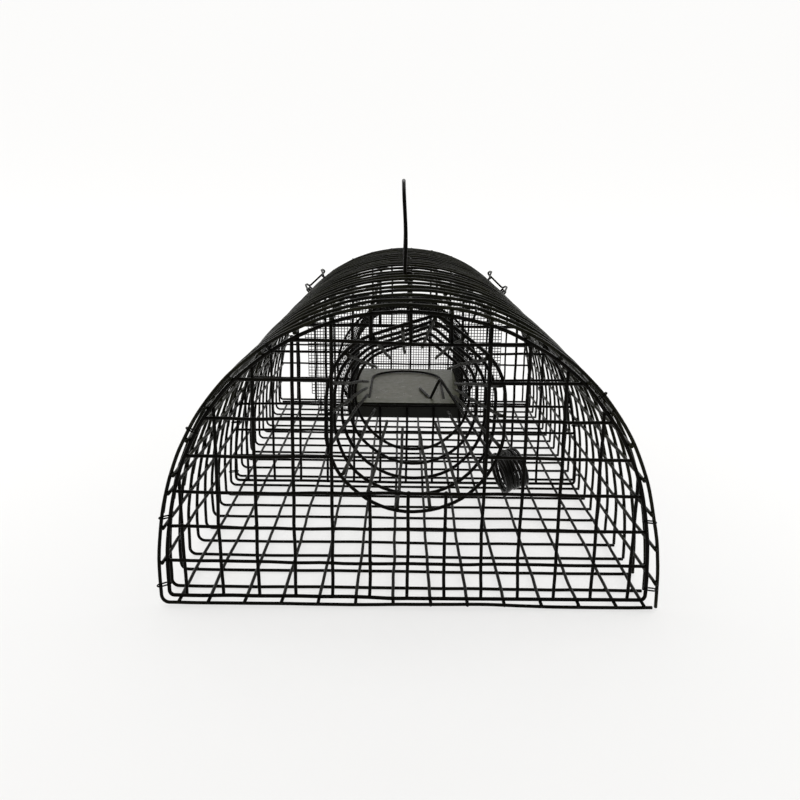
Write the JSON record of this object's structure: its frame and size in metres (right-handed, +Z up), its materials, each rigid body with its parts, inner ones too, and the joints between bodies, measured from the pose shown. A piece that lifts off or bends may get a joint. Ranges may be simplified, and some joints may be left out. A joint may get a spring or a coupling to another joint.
{
  "type": "live catch trap",
  "caption": "Arched wire mesh live-catch cage with an inward wire funnel, inner partition, counterweighted tilting flap in a covered tunnel, rear emptying door, latches and a carrying handle.",
  "frame": {"origin": "on the ground at the middle of the overall box", "axes": "+Y along the cage from the funnel to the rear door, +X to the right seen from the funnel, +Z up"},
  "size_m": [0.2556, 0.4113, 0.2155],
  "materials": {
    "cage_wire": "gloss black stoved paint over steel wire",
    "tie_wire": "painted soft steel wire",
    "fine_mesh": "painted fine woven steel wire",
    "sheet": "satin dark grey-green paint on steel sheet",
    "flap_sheet": "satin dark grey paint on steel sheet",
    "weight_wire": "gloss black paint over steel wire"
  },
  "bodies": {
    "cage": {"arch_hoops": "cage_wire", "arch_long_wires": "cage_wire", "door_hinge_rings": "tie_wire", "flap_hinge_rod": "cage_wire", "floor_hoops": "cage_wire", "floor_long_wires": "cage_wire", "front_crossbars": "cage_wire", "front_frame": "cage_wire", "front_ties": "tie_wire", "front_uprights": "cage_wire", "funnel_fingers": "cage_wire", "funnel_ring_1": "cage_wire", "funnel_ring_2": "cage_wire", "funnel_ring_3": "cage_wire", "funnel_ring_4": "cage_wire", "funnel_ring_5": "cage_wire", "hood_front_rim": "cage_wire", "hood_rear_rim": "cage_wire", "partition_crossbars": "cage_wire", "partition_frame": "cage_wire", "partition_screen": "fine_mesh", "partition_ties": "tie_wire", "partition_uprights": "cage_wire", "rear_sill": "cage_wire", "tunnel_end_screen": "fine_mesh", "tunnel_floor": "sheet", "tunnel_hood": "fine_mesh"},
    "flap": {"trap_flap": "flap_sheet", "counterweight_arm": "weight_wire", "counterweight_coil": "weight_wire"},
    "door": {"door_frame": "cage_wire", "door_uprights": "cage_wire", "door_crossbars": "cage_wire"},
    "latch_left": {"latch_left": "cage_wire"},
    "latch_right": {"latch_right": "cage_wire"},
    "handle": {"handle": "cage_wire"}
  },
  "joints": [
    {"name": "flap_tilt", "type": "hinge", "parent": "cage", "child": "flap", "pos_m": [0, -0.01932, 0.05914], "axis": [-1, 0, 0], "range_deg": [0, 31]},
    {"name": "door_swing", "type": "hinge", "parent": "cage", "child": "door", "pos_m": [0, 0.2025, 0.00424], "axis": [-1, 0, 0], "range_deg": [0, 90]},
    {"name": "latch_left_swing", "type": "hinge", "parent": "cage", "child": "latch_left", "pos_m": [-0.08376, 0.17802, 0.12245], "axis": [0.7316, 0, 0.6817], "range_deg": [-11, 100]},
    {"name": "latch_right_swing", "type": "hinge", "parent": "cage", "child": "latch_right", "pos_m": [0.08376, 0.17802, 0.12245], "axis": [0.7316, 0, -0.6817], "range_deg": [-11, 100]},
    {"name": "handle_swing", "type": "hinge", "parent": "cage", "child": "handle", "pos_m": [0, 0.00702, 0.15426], "axis": [0, 1, 0], "range_deg": [-80, 80]}
  ]
}
